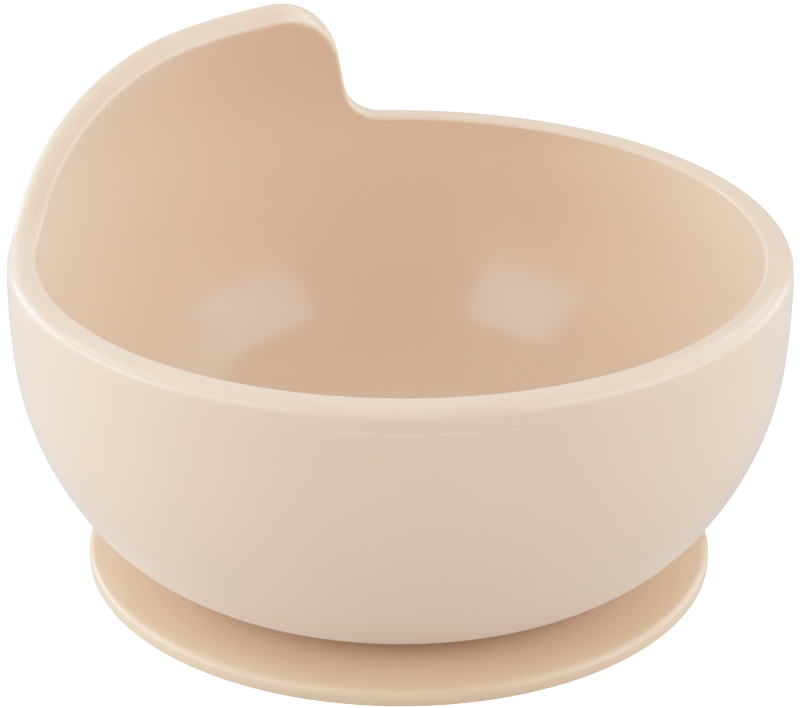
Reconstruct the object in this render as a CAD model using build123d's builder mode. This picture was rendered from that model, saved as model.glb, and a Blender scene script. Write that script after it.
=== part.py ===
from build123d import *
import os
from math import asin, cos, degrees, hypot, radians, sin, sqrt

# Suction bowl of soft moulded silicone: a round bowl whose rim rises at the back left into a
# scoop wall, and the wide suction disc that it plugs into.
# Millimetres. +Z is up, and the table top is Z = 0. The bowl's axis is the Z axis.
# Angles round the rim are counter-clockwise from +X, seen from above, so -Y is the front.

os.makedirs("parts", exist_ok=True)

# ---- driving dimensions: the bowl
bowl_radius = 60.0        # outside radius at the widest level
widest_level = 47.5       # height of the widest level
rim_level = 53.2          # top of the low rim
underside_level = 5.4     # flat underside, resting on the base's neck
wall = 4.3                # thickness of the wall
floor_thickness = 3.6
lip_outer_round = 2.2     # rounding of the rim's outer edge
lip_inner_round = 0.7
sole_round = 6.0          # rounding where the side meets the underside
floor_round = 9.0         # rounding where the inside wall meets the floor

# The outside is four tangent arcs. A lean is how far the wall has turned from upright, in
# degrees, where one arc hands over to the next.
curl_radius = 39.5        # above the widest level: the scoop wall leans inward as it rises
curl_lean = 55.0          # where the untrimmed wall ends, above the scoop's crest
belly_radius = 138.0      # below the widest level
belly_lean = 4.0
haunch_radius = 46.0
haunch_lean = 36.5
heel_radius = 26.5        # down to the rounded corner

# ---- driving dimensions: the rim's outline, unrolled
# x is the angle round the rim in degrees, y is the rise above the low rim in millimetres.
scoop_foot = (98.6, 0.0)
scoop_crest = (104.3, 25.8)
scoop_shoulder = (160.9, 21.5)
scoop_tail = (178.0, 0.0)
scoop_rounds = (6.8, 15.7, 48.0, 9.0)
scoop_run_out = 20.0      # level rim drawn with the scoop at each end
scoop_steps = 60
level_rim_steps = 24
cutter_reach_in = 22.0    # the rim cutter's edges, measured square in from the wall's outside
cutter_reach_out = -16.0
cutter_height = 60.0

# ---- driving dimensions: the plug joint under the bowl
stud_radius = 15.0
stud_length = 2.8
stud_lead_in = 0.6
plug_clearance = 0.1      # on the radius, all round the stud
stud_end_gap = 0.2        # air under the stud

# ---- driving dimensions: the suction base
base_radius = 49.5
edge_thickness = 2.4
edge_round = 1.0          # rounding of the disc's upper edge
sealing_edge_round = 0.2  # its lower edge is almost sharp, to seal on the table
disc_rise = 0.9           # the disc thickens by this from its edge to the neck
neck_radius = 26.0
neck_fillet = 1.5
land_radius = 41.0        # the flat sealing ring runs from here out to the edge
dish_depth = 1.1          # the underside is dished inside that ring


def outward(lean):
    """The direction square to the wall, in its upright section, where it leans in downward."""
    return Vector(cos(radians(lean)), -sin(radians(lean)))


curl_centre = Vector(bowl_radius - curl_radius, widest_level)
belly_centre = Vector(bowl_radius - belly_radius, widest_level)
haunch_centre = belly_centre + outward(belly_lean) * (belly_radius - haunch_radius)
heel_centre = haunch_centre + outward(haunch_lean) * (haunch_radius - heel_radius)


def bowl_side(inset, level, corner):
    """Draw the wall's upright section, this far inside its outside, from the top to the axis.

    The side ends in a rounded corner at the flat level below. Returns its top end.
    """
    heel_left = heel_radius - inset - corner
    corner_lean = degrees(asin((heel_centre.Y - level - corner) / heel_left))
    corner_centre = heel_centre + outward(corner_lean) * heel_left
    curl = CenterArc(curl_centre, curl_radius - inset, 0, curl_lean)
    CenterArc(belly_centre, belly_radius - inset, 0, -belly_lean)
    CenterArc(haunch_centre, haunch_radius - inset, -belly_lean, belly_lean - haunch_lean)
    CenterArc(heel_centre, heel_radius - inset, -haunch_lean, haunch_lean - corner_lean)
    corner_arc = CenterArc(corner_centre, corner, -corner_lean, corner_lean - 90)
    Line(corner_arc @ 1, (0, level))
    return curl @ 1


def on_wall(station, inset):
    """The point at (angle, rise) round the rim, measured square in from the wall's outside."""
    lean_sine = (rim_level + station.Y - widest_level) / curl_radius
    lean_cosine = sqrt(1 - lean_sine**2)
    radius = curl_centre.X + (curl_radius - inset) * lean_cosine
    level = widest_level + (curl_radius - inset) * lean_sine
    angle = radians(station.X)
    return Vector(radius * cos(angle), radius * sin(angle), level)


def rings_of_radius(rings, radius):
    """The rings whose radius is this one."""
    return rings.filter_by(lambda ring: round(ring.radius - radius, 2) == 0)


# ---- the rim's outline, then the cutter that trims the wall square to its own slope
with BuildLine() as scoop:
    FilletPolyline(
        (scoop_foot[0] - scoop_run_out, 0),
        scoop_foot,
        scoop_crest,
        scoop_shoulder,
        scoop_tail,
        (scoop_tail[0] + scoop_run_out, 0),
        radius=scoop_rounds,
    )
scoop_outline = scoop.wire()
stations = [scoop_outline @ (step / scoop_steps) for step in range(scoop_steps)]
level_start = scoop_tail[0] + scoop_run_out
level_span = scoop_foot[0] - scoop_run_out + 360 - level_start
for step in range(level_rim_steps):
    stations.append(Vector(level_start + level_span * step / level_rim_steps, 0))
parameters = [0.0]
for here, there in zip(stations, stations[1:] + [stations[0] + Vector(360, 0)]):
    parameters.append(parameters[-1] + (there - here).length)

cutter_edges = [
    Edge.make_spline(
        [on_wall(station, inset) for station in stations],
        periodic=True,
        parameters=parameters,
    )
    for inset in (cutter_reach_in, cutter_reach_out)
]
rim_surface = Face.make_surface_from_curves(*cutter_edges)
rim_cutter = extrude(rim_surface, amount=cutter_height, dir=(0, 0, 1))

# ---- the bowl
floor_level = underside_level + floor_thickness
with BuildPart() as bowl:
    with BuildSketch(Plane.XZ):
        with BuildLine():
            outside_top = bowl_side(0, underside_level, sole_round)
            inside_top = bowl_side(wall, floor_level, floor_round)
            Line(outside_top, inside_top)
            Line((0, underside_level), (0, floor_level))
        make_face()
    revolve(axis=Axis.Z)
    add(rim_cutter, mode=Mode.SUBTRACT)
    lip = bowl.faces().filter_by(GeomType.BSPLINE)[0]
    rim_edges = lip.edges().filter_by(lambda edge: edge.length > 2 * wall)
    inner_edges = rim_edges.filter_by(lambda edge: hypot((edge @ 0).X, (edge @ 0).Y) < bowl_radius - wall)
    outer_edges = rim_edges.filter_by(lambda edge: edge not in inner_edges)
    fillet(outer_edges, lip_outer_round)
    fillet(inner_edges, lip_inner_round)
    with BuildSketch(Plane.XY.offset(underside_level)):
        Circle(stud_radius)
    extrude(amount=-stud_length)
    chamfer(bowl.edges().sort_by(Axis.Z)[0], stud_lead_in)
bowl.part.label = "bowl"

# ---- the suction base
socket_radius = stud_radius + plug_clearance
socket_floor = underside_level - stud_length - stud_end_gap
with BuildPart() as suction_base:
    with BuildSketch(Plane.XZ):
        with BuildLine():
            dish = ThreePointArc((-land_radius, 0), (0, dish_depth), (land_radius, 0), mode=Mode.PRIVATE)
            add(dish.trim(0.5, 1))
            Polyline(
                (land_radius, 0),
                (base_radius, 0),
                (base_radius, edge_thickness),
                (neck_radius, edge_thickness + disc_rise),
                (neck_radius, underside_level),
                (socket_radius, underside_level),
                (socket_radius, socket_floor),
                (0, socket_floor),
                (0, dish_depth),
            )
        make_face()
    revolve(axis=Axis.Z)
    rings = suction_base.edges().filter_by(GeomType.CIRCLE)
    sealing_edge, upper_edge = rings_of_radius(rings, base_radius).sort_by(Axis.Z)
    fillet(upper_edge, edge_round)
    fillet(sealing_edge, sealing_edge_round)
    fillet(rings_of_radius(rings, neck_radius).sort_by(Axis.Z)[0], neck_fillet)
suction_base.part.label = "suction_base"

for piece in (bowl.part, suction_base.part):
    export_step(piece, f"parts/{piece.label}.step")
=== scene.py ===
"""A suction bowl of soft beige silicone: its two mouldings, its material, a white table and soft light.

Metres, in the CAD's frame: +Z up, the table at Z = 0, the bowl's axis on Z, the front at -Y.
Angles round the rim are counter-clockwise from +X, seen from above.
"""

import math

import bpy
import numpy as np
from mathutils import Matrix, Vector


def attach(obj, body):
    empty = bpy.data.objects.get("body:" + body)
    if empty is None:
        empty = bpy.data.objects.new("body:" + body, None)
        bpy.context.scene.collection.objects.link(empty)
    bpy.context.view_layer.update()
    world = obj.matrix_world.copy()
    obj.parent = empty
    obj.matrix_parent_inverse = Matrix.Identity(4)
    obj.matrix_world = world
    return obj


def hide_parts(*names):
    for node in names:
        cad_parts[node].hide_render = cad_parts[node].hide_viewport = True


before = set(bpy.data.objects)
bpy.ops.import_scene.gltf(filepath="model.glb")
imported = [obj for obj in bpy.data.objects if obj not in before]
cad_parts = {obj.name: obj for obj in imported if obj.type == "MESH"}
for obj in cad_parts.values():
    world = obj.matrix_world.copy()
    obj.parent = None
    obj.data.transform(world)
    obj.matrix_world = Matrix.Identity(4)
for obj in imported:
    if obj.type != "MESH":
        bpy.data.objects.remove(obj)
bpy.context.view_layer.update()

MM = 0.001

# ---------------------------------------------------------------- dimensions, in millimetres
BOWL_RADIUS = 60.0
WIDEST_LEVEL = 47.5
RIM_LEVEL = 53.2
UNDERSIDE = 5.4
WALL = 4.3
FLOOR = 3.6
LIP_OUT = 2.2              # rounding of the rim's outer edge
LIP_IN = 0.7               # and of its inner edge
SOLE_ROUND = 6.0
FLOOR_ROUND = 9.0
CURL_RADIUS = 39.5
BELLY = (138.0, 4.0)       # radius, and the lean in degrees where it ends
HAUNCH = (46.0, 36.5)
HEEL_RADIUS = 26.5
SCOOP = ((98.6, 0.0), (104.3, 25.8), (160.9, 21.5), (178.0, 0.0))   # degrees round, rise
SCOOP_ROUNDS = (6.8, 15.7, 48.0, 9.0)
RUN_OUT = 20.0
STUD_RADIUS = 15.0
STUD_LENGTH = 2.8
STUD_LEAD_IN = 0.6
STUD_FOOT = 0.4            # the small fillet where the stud leaves the underside
SOCKET_RADIUS = 15.1
SOCKET_FLOOR = 2.4
BASE_RADIUS = 49.5
EDGE_THICKNESS = 2.4
EDGE_ROUND = 1.0           # the disc's upper edge
SEALING_ROUND = 0.2        # its lower edge, which seals on the table
DISC_RISE = 0.9
NECK_RADIUS = 26.0
NECK_FILLET = 1.5
MOUTH_ROUND = 0.3          # the neck's top edge, the socket's mouth and its floor corner
LAND_RADIUS = 41.0
DISH_DEPTH = 1.1
PARTING_LEVEL = 49.0       # where the mould's halves met, a hairline round the outside
PARTING_WIDTH = 0.26
PARTING_HEIGHT = (0.015, 0.055)   # all round, and how much more where it was trimmed worst
PARTING_PEAK = (273.0, 13.0)     # degrees round the bowl, and how far that stretch reaches; there the crest's painted highlight is also strongest
PARTING_HIGHLIGHT = 2.2                # a painted highlight along the parting line's crest, paler than any worn edge
EDGE_WORN = 0.3                   # how worn the disc's upper edge is
EDGE_WORN_IN = (1.3, 0.4)         # where that begins and is complete, measured in from the edge

# ---------------------------------------------------------------- the meshes
COLUMNS = 500              # vertices round each ring of the bowl
BASE_COLUMNS = 360
SIDE_SPACING = 1.15        # between the rings up the bowl's side, in millimetres
CURL_RINGS = 26            # from the parting line up to the lip
# The rings are evenly divided low down, and turn column by column to meet the rim's own points.
TURNED_AT_WIDEST = 0.42    # how much of that turn is made by the widest level
TURNED_AT_PARTING = 0.52   # and by the parting line
TURN_HASTE = 1.15          # above it the turn is made this much sooner than the lip is reached

PAPER = 6.0                # how bright the white paper is, which is also the film's white


def rad(angle):
    return np.radians(angle)


# ---------------------------------------------------------------- the bowl's section
def arcs_of(inset, level, corner):
    """The section's arcs from the flat up to the curl: (centre r, centre z, radius, lean from, lean to)."""

    def moved(centre, distance, lean):
        return centre[0] + distance * math.cos(rad(lean)), centre[1] - distance * math.sin(rad(lean))

    belly_centre = BOWL_RADIUS - BELLY[0], WIDEST_LEVEL
    haunch_centre = moved(belly_centre, BELLY[0] - HAUNCH[0], BELLY[1])
    heel_centre = moved(haunch_centre, HAUNCH[0] - HEEL_RADIUS, HAUNCH[1])
    heel_left = HEEL_RADIUS - inset - corner
    lean = math.degrees(math.asin((heel_centre[1] - level - corner) / heel_left))
    corner_centre = moved(heel_centre, heel_left, lean)
    return [
        (*corner_centre, corner, 90.0, lean),
        (*heel_centre, HEEL_RADIUS - inset, lean, HAUNCH[1]),
        (*haunch_centre, HAUNCH[0] - inset, HAUNCH[1], BELLY[1]),
        (*belly_centre, BELLY[0] - inset, BELLY[1], 0.0),
    ]


def section(arcs):
    """Points (r, z) up the arcs, from the flat to the widest level."""
    points = []
    for centre_r, centre_z, radius, first, last in arcs:
        count = max(3, int(math.ceil(radius * abs(rad(first - last)) / SIDE_SPACING)))
        for lean in rad(np.linspace(first, last, count, endpoint=False)):
            points.append((centre_r + radius * math.cos(lean), centre_z - radius * math.sin(lean)))
    points.append((arcs[-1][0] + arcs[-1][2], WIDEST_LEVEL))
    return np.array(points)


def curl_point(lean, inset):
    """(r, z) on the curl above the widest level, this far inside the outside."""
    reach = CURL_RADIUS - inset
    return BOWL_RADIUS - CURL_RADIUS + reach * np.cos(rad(lean)), WIDEST_LEVEL + reach * np.sin(rad(lean))


def lean_at(level):
    """The curl's lean in degrees where its outside reaches this level."""
    return np.degrees(np.arcsin((level - WIDEST_LEVEL) / CURL_RADIUS))


# ---------------------------------------------------------------- the rim's outline
def rim_outline():
    """The unrolled rim as a rounded polyline of (degrees, rise)."""
    ends = np.array([(SCOOP[0][0] - RUN_OUT, 0.0), *SCOOP, (SCOOP[3][0] + RUN_OUT, 0.0)])
    points = [ends[0]]
    for before, here, after, radius in zip(ends, ends[1:], ends[2:], SCOOP_ROUNDS):
        back, on = before - here, after - here
        back, on = back / np.hypot(*back), on / np.hypot(*on)
        half = math.acos(back @ on) / 2
        bisector = (back + on) / np.hypot(*(back + on))
        centre = here + bisector * (radius / math.sin(half))
        start = here + back * radius / math.tan(half) - centre
        end = here + on * radius / math.tan(half) - centre
        first = math.atan2(start[1], start[0])
        turn = (math.atan2(end[1], end[0]) - first + math.pi) % (2 * math.pi) - math.pi
        for t in first + turn * np.linspace(0, 1, 60):
            points.append(centre + radius * np.array([math.cos(t), math.sin(t)]))
    points.append(ends[-1])
    return np.array(points)


def rim_stations():
    """Evenly spaced (degrees, rise) all round the rim, closed."""
    outline = rim_outline()
    angle, rise = np.vstack([outline, outline[0] + (360.0, 0.0)]).T
    r, z = curl_point(lean_at(RIM_LEVEL + rise), 0.0)
    mean_r = (r[1:] + r[:-1]) / 2
    step = np.sqrt((mean_r * rad(np.diff(angle))) ** 2 + np.diff(r) ** 2 + np.diff(z) ** 2)
    along = np.concatenate([[0.0], np.cumsum(step)])
    stations = np.linspace(0, along[-1], COLUMNS, endpoint=False)
    return np.interp(stations, along, angle), np.interp(stations, along, rise)


def smooth(x):
    """0 below 0, 1 above 1, and an S between them."""
    x = np.clip(x, 0.0, 1.0)
    return x * x * (3 - 2 * x)


def parting_strength(angle):
    """How clear the parting line is at these angles round the bowl, from 0 to 1."""
    away = (angle - PARTING_PEAK[0] + 180) % 360 - 180
    return np.exp(-((away / PARTING_PEAK[1]) ** 4))


def arc_points(r, z, reach_r, reach_z, first, last, count):
    """Points (r, z) round an arc of centre (r, z), where 0 degrees is outward and 90 is up."""
    turns = rad(np.linspace(first, last, count))
    return [(r + reach_r * math.cos(t), z + reach_z * math.sin(t)) for t in turns]


def bowl_rings():
    """The bowl as closed rings of COLUMNS points, from its stud, up the outside, over the lip and down.

    Each ring comes with how pale it is painted: how worn it is, from 0 to 1, and along the parting line a
    painted highlight that goes higher.
    """
    angle, rise = rim_stations()
    lean = lean_at(RIM_LEVEL + rise)
    outward = np.stack([np.cos(rad(angle)), np.sin(rad(angle)), 0 * angle], -1)
    upward = np.array([0.0, 0.0, 1.0])
    normal = outward * np.cos(rad(lean))[:, None] + upward * np.sin(rad(lean))[:, None]
    rim_r, rim_z = curl_point(lean, 0.0)
    edge = outward * rim_r[:, None] + upward * rim_z[:, None]
    along = np.roll(edge, -1, 0) - np.roll(edge, 1, 0)
    along /= np.linalg.norm(along, axis=1)[:, None]
    up = np.cross(normal, along)
    up *= np.sign(up[:, 2])[:, None]
    up /= np.linalg.norm(up, axis=1)[:, None]
    even = angle[0] + np.arange(COLUMNS) * 360.0 / COLUMNS
    even += np.mean(angle - even)

    def ring(r, z, angle):
        """A level ring, or one whose radius, level and angle change from column to column."""
        return np.stack([r * np.cos(rad(angle)), r * np.sin(rad(angle)), z + 0 * angle], -1)

    def level_rings(points, paleness=0.0):
        return [(ring(r, z, even), paleness) for r, z in points]

    def side(inset, arcs, depth):
        """Rings from the flat up to where the lip's rounding, this deep, begins."""
        below = edge - up * depth
        below_lean = lean_at(below[:, 2])
        below_angle = np.degrees(np.unwrap(np.arctan2(below[:, 1], below[:, 0])))
        below_angle += 360 * np.round((angle[0] - below_angle[0]) / 360)

        def turned(share):
            return even + (below_angle - even) * share

        rows = []
        low = section(arcs)
        shares = TURNED_AT_WIDEST * smooth((low[:, 1] - UNDERSIDE) / (WIDEST_LEVEL - UNDERSIDE))
        for (r, z), share in zip(low, shares):
            rows.append((ring(r, z, turned(share)), 0.0))

        # (height over the parting line, how far it stands out): it is a step square to the wall
        # below, and slopes back into the wall above
        steps = [(-1.2, 0), (-0.5, 0), (0.6, 0), (1.4, 0)]
        if inset == 0:
            steps[2:2] = [(-0.02, 0), (-0.01, 0), (0, 1), (0.01, 0.96), (PARTING_WIDTH, 0)]
        line = lean_at(PARTING_LEVEL)
        top = line + math.degrees(steps[-1][0] / CURL_RADIUS)
        for offset, lift in steps:
            step_lean = line + math.degrees(offset / CURL_RADIUS)
            share = TURNED_AT_WIDEST + (TURNED_AT_PARTING - TURNED_AT_WIDEST) * step_lean / top
            strength = parting_strength(turned(share))
            out = lift * (PARTING_HEIGHT[0] + PARTING_HEIGHT[1] * strength)
            r, z = curl_point(step_lean, inset - out)
            # the crest is painted paler here: a painted highlight where the ridge catches light from above
            rows.append((ring(r, z, turned(share)), PARTING_HIGHLIGHT * lift * strength))

        for f in np.linspace(0, 1, CURL_RINGS + 1)[1:]:
            r, z = curl_point(top + (below_lean - top) * f, inset)
            share = TURNED_AT_PARTING + (1 - TURNED_AT_PARTING) * smooth(f * TURN_HASTE)
            rows.append((ring(r, z, turned(share)), 0.25 * f**12))
        return rows

    def lip_ring(inward, down):
        return edge - normal * inward - up * down

    stud_end = UNDERSIDE - STUD_LENGTH
    lead_in = STUD_RADIUS - STUD_LEAD_IN, stud_end + STUD_LEAD_IN
    foot = STUD_RADIUS + STUD_FOOT, UNDERSIDE - STUD_FOOT
    rows = level_rings([(r, stud_end) for r in (1.0, 7.0, 12.0)])
    rows += level_rings(arc_points(*lead_in, STUD_LEAD_IN, -STUD_LEAD_IN, 90, 0, 5), 0.6)
    rows += level_rings(arc_points(*foot, -STUD_FOOT, STUD_FOOT, 0, 90, 4))
    rows += level_rings([(r, UNDERSIDE) for r in (20.0, 26.0, 32.0, 37.0)])
    rows += side(0.0, arcs_of(0.0, UNDERSIDE, SOLE_ROUND), LIP_OUT)
    for t in rad(np.linspace(0, 90, 11)[1:]):
        paleness = 0.3 + 0.4 * math.sin(t)
        rows.append((lip_ring(LIP_OUT * (1 - math.cos(t)), LIP_OUT * (1 - math.sin(t))), paleness))
    rows.append((lip_ring((WALL + LIP_OUT - LIP_IN) / 2, 0.0), 0.5))
    for t in rad(np.linspace(0, 90, 6)[:-1]):
        paleness = 0.7 + 0.3 * math.sin(2 * t)
        rows.append((lip_ring(WALL - LIP_IN * (1 - math.sin(t)), LIP_IN * (1 - math.cos(t))), paleness))
    rows += side(WALL, arcs_of(WALL, UNDERSIDE + FLOOR, FLOOR_ROUND), LIP_IN)[::-1]
    rows += level_rings([(r, UNDERSIDE + FLOOR) for r in (32.0, 26.0, 18.0, 9.0, 1.0)])
    return rows


def base_rings():
    """The suction base as rings, from its underside's centre, round the edge and in over the top.

    Each ring comes with how worn it is, from 0 to 1.
    """
    t = np.arange(BASE_COLUMNS) * 2 * math.pi / BASE_COLUMNS
    dish = (LAND_RADIUS**2 + DISH_DEPTH**2) / (2 * DISH_DEPTH)
    slope = math.atan2(DISC_RISE, BASE_RADIUS - NECK_RADIUS)

    def surface(r):
        """The disc's upper face."""
        return EDGE_THICKNESS + (BASE_RADIUS - r) * math.tan(slope)

    def under(r):
        """The dish under the disc."""
        return DISH_DEPTH - dish + math.sqrt(dish**2 - r**2)

    points = [(r, under(r)) for r in (0.8, 8.0, 16.0, 24.0, 30.0, 35.0, 38.5, 40.4)]
    points += [(r, 0.0) for r in (41.3, 44.0, 47.3, 49.0)]
    points += arc_points(BASE_RADIUS - SEALING_ROUND, SEALING_ROUND, SEALING_ROUND, SEALING_ROUND, -90, 0, 5)
    points.append((BASE_RADIUS, 0.8))
    centre = BASE_RADIUS - EDGE_ROUND, EDGE_THICKNESS - EDGE_ROUND
    points += arc_points(*centre, EDGE_ROUND, EDGE_ROUND, 0, 90 - math.degrees(slope), 7)
    points += [(r, surface(r)) for r in (47.9, 46.5, 44.0, 41.0, 38.0, 35.0, 32.0, 29.5, 28.0)]
    centre = NECK_RADIUS + NECK_FILLET, surface(NECK_RADIUS + NECK_FILLET) + NECK_FILLET
    points += arc_points(*centre, -NECK_FILLET, -NECK_FILLET, 88, 0, 6)
    edge = UNDERSIDE - MOUTH_ROUND
    points += arc_points(NECK_RADIUS - MOUTH_ROUND, edge, MOUTH_ROUND, MOUTH_ROUND, 0, 90, 4)
    points += [(23.0, UNDERSIDE), (19.0, UNDERSIDE)]
    points += arc_points(SOCKET_RADIUS + MOUTH_ROUND, edge, -MOUTH_ROUND, MOUTH_ROUND, 90, 0, 4)
    centre = SOCKET_RADIUS - MOUTH_ROUND, SOCKET_FLOOR + MOUTH_ROUND
    points += arc_points(*centre, MOUTH_ROUND, -MOUTH_ROUND, 0, 90, 4)
    points += [(12.0, SOCKET_FLOOR), (6.0, SOCKET_FLOOR), (0.8, SOCKET_FLOOR)]
    rows = []
    for r, z in points:
        nearness = (r - BASE_RADIUS + EDGE_WORN_IN[0]) / (EDGE_WORN_IN[0] - EDGE_WORN_IN[1])
        paleness = EDGE_WORN * smooth(nearness) * smooth(z / EDGE_THICKNESS)
        rows.append((np.stack([r * np.cos(t), r * np.sin(t), z + 0 * t], -1), paleness))
    return rows


def mesh_from_rings(name, rows):
    """A closed mesh of quads between rings, with a fan at each end, and each vertex's paleness: its wear and
    the parting line's painted highlight.
    """
    rings = [ring for ring, _ in rows]
    wear_and_highlight = [np.broadcast_to(paleness, len(ring)) for ring, paleness in rows]
    count = len(rings[0])
    verts = np.concatenate([*rings, [rings[0].mean(0), rings[-1].mean(0)]]) * MM
    wear_and_highlight = np.concatenate([*wear_and_highlight, [0.0, 0.0]])

    here = np.arange(count)
    beside = (here + 1) % count
    last = (len(rings) - 1) * count
    low_middle, high_middle = last + count, last + count + 1
    quads = [i + np.stack([here, beside, beside + count, here + count], -1) for i in range(0, last, count)]
    quads = np.concatenate(quads)
    low_fan = np.stack([np.full(count, low_middle), beside, here], -1)
    high_fan = np.stack([last + here, last + beside, np.full(count, high_middle)], -1)
    tris = np.concatenate([low_fan, high_fan])
    loops = np.concatenate([quads.ravel(), tris.ravel()]).astype(np.int32)
    starts = np.concatenate([np.arange(len(quads)) * 4, len(quads) * 4 + np.arange(len(tris)) * 3])

    mesh = bpy.data.meshes.new(name)
    mesh.vertices.add(len(verts))
    mesh.vertices.foreach_set("co", verts.astype(np.float32).ravel())
    mesh.loops.add(len(loops))
    mesh.loops.foreach_set("vertex_index", loops)
    mesh.polygons.add(len(starts))
    mesh.polygons.foreach_set("loop_start", starts.astype(np.int32))
    mesh.update(calc_edges=True)
    mesh.validate()
    mesh.shade_smooth()
    mesh.attributes.new("wear_and_highlight", "FLOAT", "POINT").data.foreach_set("value", wear_and_highlight.astype(np.float32))
    ob = bpy.data.objects.new(name, mesh)
    bpy.context.scene.collection.objects.link(ob)
    return ob


# ---------------------------------------------------------------- materials
def nodes_of(mat):
    mat.use_nodes = True
    nt = mat.node_tree
    nt.nodes.clear()
    return nt


def srgb(*c):
    """Linear colour from 0-255 screen values."""
    c = np.array(c) / 255.0
    return (*np.where(c <= 0.04045, c / 12.92, ((c + 0.055) / 1.055) ** 2.4), 1.0)


def noise(nt, coord, scale, detail):
    tex = nt.nodes.new("ShaderNodeTexNoise")
    tex.inputs["Scale"].default_value = scale
    tex.inputs["Detail"].default_value = detail
    nt.links.new(coord.outputs["Object"], tex.inputs["Vector"])
    return tex.outputs["Fac"]


def blend(nt, factor):
    """A mix of two colours by this factor; the caller sets both."""
    mix = nt.nodes.new("ShaderNodeMix")
    mix.data_type = "RGBA"
    nt.links.new(factor, mix.inputs["Factor"])
    return mix


def bump(nt, height, strength, distance):
    node = nt.nodes.new("ShaderNodeBump")
    node.inputs["Strength"].default_value = strength
    node.inputs["Distance"].default_value = distance
    nt.links.new(height, node.inputs["Height"])
    return node


def silicone(name, base):
    """Soft translucent silicone with a satin skin, whose worn edges are paler, and whose parting line is
    painted paler as a highlight.
    """
    mat = bpy.data.materials.new(name)
    nt = nodes_of(mat)
    link = nt.links
    out = nt.nodes.new("ShaderNodeOutputMaterial")
    bsdf = nt.nodes.new("ShaderNodeBsdfPrincipled")
    link.new(bsdf.outputs[0], out.inputs["Surface"])
    bsdf.inputs["IOR"].default_value = 1.41
    bsdf.inputs["Subsurface Weight"].default_value = 0.5
    bsdf.inputs["Subsurface Radius"].default_value = (1.0, 0.5, 0.3)
    bsdf.inputs["Subsurface Scale"].default_value = 0.0012
    bsdf.inputs["Sheen Weight"].default_value = 0.35       # a powdery bloom at a glancing angle
    bsdf.inputs["Sheen Roughness"].default_value = 0.35
    coord = nt.nodes.new("ShaderNodeTexCoord")
    pigment = np.array(base[:3])

    # broad, faint unevenness of the pigment
    tint = blend(nt, noise(nt, coord, 38.0, 3.0))
    tint.inputs["A"].default_value = (*(pigment * 0.975), 1)
    tint.inputs["B"].default_value = (*(pigment * 1.02), 1)

    # edges that hands and dishwashers have worn come out a shade paler, in patches, and the parting line's
    # crest is painted paler as a highlight
    wear_and_highlight = nt.nodes.new("ShaderNodeAttribute")
    wear_and_highlight.attribute_name = "wear_and_highlight"
    paleness = nt.nodes.new("ShaderNodeMath")
    paleness.operation = "MULTIPLY"
    paleness.use_clamp = True
    link.new(wear_and_highlight.outputs["Fac"], paleness.inputs[0])
    link.new(noise(nt, coord, 240.0, 3.0), paleness.inputs[1])
    pale = blend(nt, paleness.outputs[0])
    link.new(tint.outputs["Result"], pale.inputs["A"])
    pale.inputs["B"].default_value = (*(pigment + 0.08), 1)
    link.new(pale.outputs["Result"], bsdf.inputs["Base Color"])

    # the mould's satin skin shines a little more in patches
    rough = nt.nodes.new("ShaderNodeMapRange")
    rough.inputs["From Min"].default_value = 0.3
    rough.inputs["From Max"].default_value = 0.7
    rough.inputs["To Min"].default_value = 0.18
    rough.inputs["To Max"].default_value = 0.22
    link.new(noise(nt, coord, 90.0, 4.0), rough.inputs["Value"])
    link.new(rough.outputs["Result"], bsdf.inputs["Roughness"])

    # its fine grain, over the slow swell of a soft wall
    fine = bump(nt, noise(nt, coord, 2600.0, 2.0), 0.10, 0.00006)
    broad = bump(nt, noise(nt, coord, 55.0, 1.0), 0.15, 0.0002)
    link.new(fine.outputs["Normal"], broad.inputs["Normal"])
    link.new(broad.outputs["Normal"], bsdf.inputs["Normal"])
    return mat


# ---------------------------------------------------------------- the two mouldings
BEIGE = srgb(222, 190, 163)
SHADE_WARMED_BEIGE = srgb(219, 185, 154)      # a touch warmer than the bowl: painted shade, standing in for the warm light bounced into the gap under the bowl

bowl = mesh_from_rings("bowl_moulding", bowl_rings())
bowl.data.materials.append(silicone("bowl_silicone", BEIGE))
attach(bowl, "bowl")
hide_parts("bowl")

base = mesh_from_rings("suction_base_moulding", base_rings())
base.data.materials.append(silicone("base_silicone", SHADE_WARMED_BEIGE))
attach(base, "suction_base")
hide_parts("suction_base")


# ---------------------------------------------------------------- table, light and camera
def flat_square(name, half):
    mesh = bpy.data.meshes.new(name)
    corners = [(-half, -half, 0), (half, -half, 0), (half, half, 0), (-half, half, 0)]
    mesh.from_pydata(corners, [], [(0, 1, 2, 3)])
    ob = bpy.data.objects.new(name, mesh)
    bpy.context.scene.collection.objects.link(ob)
    return ob


table = flat_square("table", 3.0)
table.location.z = -0.00002
white = bpy.data.materials.new("table_white")
nt = nodes_of(white)
out = nt.nodes.new("ShaderNodeOutputMaterial")
paper = nt.nodes.new("ShaderNodeBsdfDiffuse")
paper.inputs["Color"].default_value = (0.55, 0.55, 0.55, 1)
lit = nt.nodes.new("ShaderNodeEmission")      # lit from behind, so it photographs as plain white
lit.inputs["Strength"].default_value = PAPER
both = nt.nodes.new("ShaderNodeAddShader")
path = nt.nodes.new("ShaderNodeLightPath")
mix = nt.nodes.new("ShaderNodeMixShader")
nt.links.new(paper.outputs[0], both.inputs[0])
nt.links.new(lit.outputs[0], both.inputs[1])
nt.links.new(path.outputs["Is Camera Ray"], mix.inputs[0])
nt.links.new(paper.outputs[0], mix.inputs[1])
nt.links.new(both.outputs[0], mix.inputs[2])
nt.links.new(mix.outputs[0], out.inputs["Surface"])
table.data.materials.append(white)


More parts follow.
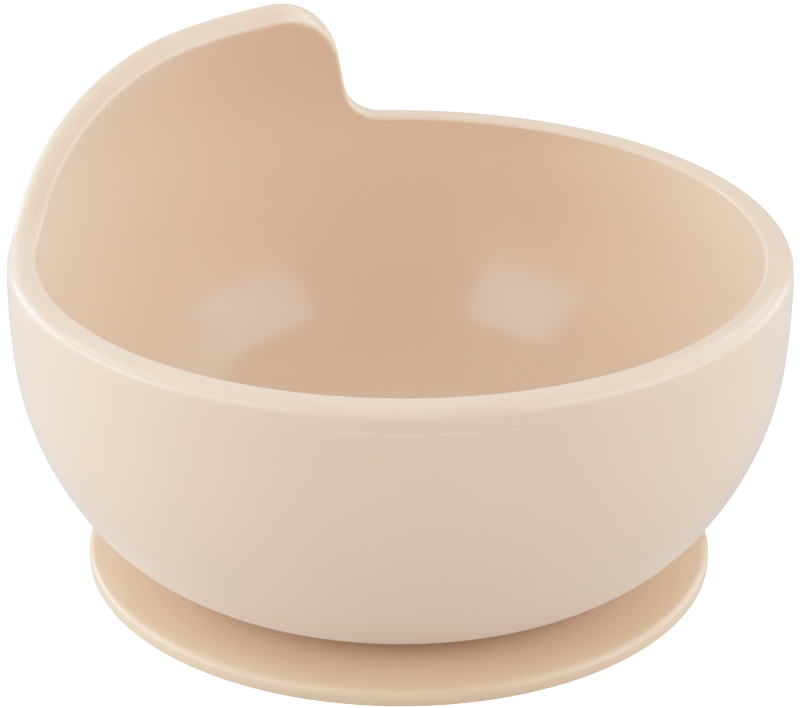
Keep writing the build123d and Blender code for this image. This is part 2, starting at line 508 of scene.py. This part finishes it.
def softbox(name, azimuth, elevation, distance, size, brightness):
    """A square of even light facing the object: azimuth 0 is over the camera, + to the right."""
    a, e = math.radians(azimuth), math.radians(elevation)
    away = Vector((math.sin(a) * math.cos(e), -math.cos(a) * math.cos(e), math.sin(e)))
    data = bpy.data.lights.new(name, "AREA")
    data.shape = "RECTANGLE"
    data.size, data.size_y = size
    data.energy = brightness * math.pi * size[0] * size[1]
    ob = bpy.data.objects.new(name, data)
    ob.location = Vector((0, 0, 0.04)) + away * distance
    ob.rotation_euler = away.to_track_quat("Z", "Y").to_euler()
    bpy.context.scene.collection.objects.link(ob)
    ob.visible_camera = False
    return ob


# two softboxes in front, which show in the bowl as two pale squares
softbox("front_left_box", -47, 27, 0.9, (0.52, 0.5), 6.0)
softbox("front_right_box", 60, 26, 0.9, (0.62, 0.48), 6.0)
# and a tent of lights round it in three tiers: each one's azimuth and brightness
LOW = ((-160, 2.3), (-120, 12.0), (-80, 12.8), (0, 0.9), (80, 7.4), (120, 6.6))
SIDE = ((-100, 5.4), (100, 3.4), (140, 4.1), (180, 0.4))
HIGH = ((-90, 5.4), (-30, 3.6), (30, 0.8), (90, 4.2), (150, 0.9))
for azimuth, brightness in LOW:
    softbox("low_light", azimuth, 10, 1.0, (0.62, 0.36), brightness)
for azimuth, brightness in SIDE:
    softbox("side_light", azimuth, 35, 1.0, (0.55, 0.36), brightness)
overhead = [softbox("high_light", azimuth, 62, 1.0, (0.5, 0.36), brightness) for azimuth, brightness in HIGH]
overhead.append(softbox("top_light", 180, 85, 1.0, (0.5, 0.5), 0.8))
for light in overhead:
    light.visible_glossy = False      # behind diffusion cloth, so the lights overhead cast no reflection

world = bpy.data.worlds.new("studio")
bpy.context.scene.world = world
world.use_nodes = True
nt = world.node_tree
nt.nodes.clear()
out = nt.nodes.new("ShaderNodeOutputWorld")
seen = nt.nodes.new("ShaderNodeBackground")
seen.inputs["Strength"].default_value = PAPER
fill = nt.nodes.new("ShaderNodeBackground")
fill.inputs["Strength"].default_value = 0.1
path = nt.nodes.new("ShaderNodeLightPath")
mix = nt.nodes.new("ShaderNodeMixShader")
nt.links.new(path.outputs["Is Camera Ray"], mix.inputs[0])
nt.links.new(fill.outputs[0], mix.inputs[1])
nt.links.new(seen.outputs[0], mix.inputs[2])
nt.links.new(mix.outputs[0], out.inputs["Surface"])

# the film's response: near linear in the shadows, and rolling off softly to white
view = bpy.context.scene.view_settings
view.view_transform = "Standard"
view.look = "None"
view.exposure = 0.0
view.use_curve_mapping = True
film = view.curve_mapping
film.white_level = (PAPER, PAPER, PAPER)
points = film.curves[3].points
for x in (0.15, 0.35, 0.6, 0.9, 1.25, 1.7, 2.3, 3.0, 4.0):
    points.new(x / PAPER, (1 - math.exp(-x)) / (1 - math.exp(-PAPER)))
film.update()

# The camera stands in front, looking down on the bowl. Angles are in radians.
ELEVATION = 0.50049        # where it stands, seen from the middle of the base
DISTANCE = 448.19          # from there, in millimetres
SENSOR = 36.0
FOCAL = 125.0523
PITCH = -0.067843          # it aims above the base, about 33 mm up the axis
YAW = 0.00002
ROLL = 0.00479
cam_data = bpy.data.cameras.new("camera")
cam_data.sensor_width = SENSOR
cam_data.lens = FOCAL
cam_data.clip_start = 0.01
camera = bpy.data.objects.new("camera", cam_data)
bpy.context.scene.collection.objects.link(camera)
look = Vector(
    (
        math.sin(YAW) * math.cos(ELEVATION + PITCH),
        math.cos(YAW) * math.cos(ELEVATION + PITCH),
        -math.sin(ELEVATION + PITCH),
    )
)
right = look.cross(Vector((0, 0, 1))).normalized()
up = right.cross(look)
right, up = right * math.cos(ROLL) + up * math.sin(ROLL), up * math.cos(ROLL) - right * math.sin(ROLL)
turn = Matrix((right, up, -look)).transposed()
place = Vector((0, -DISTANCE * math.cos(ELEVATION), DISTANCE * math.sin(ELEVATION))) * MM
camera.matrix_world = Matrix.Translation(place) @ turn.to_4x4()
bpy.context.scene.camera = camera
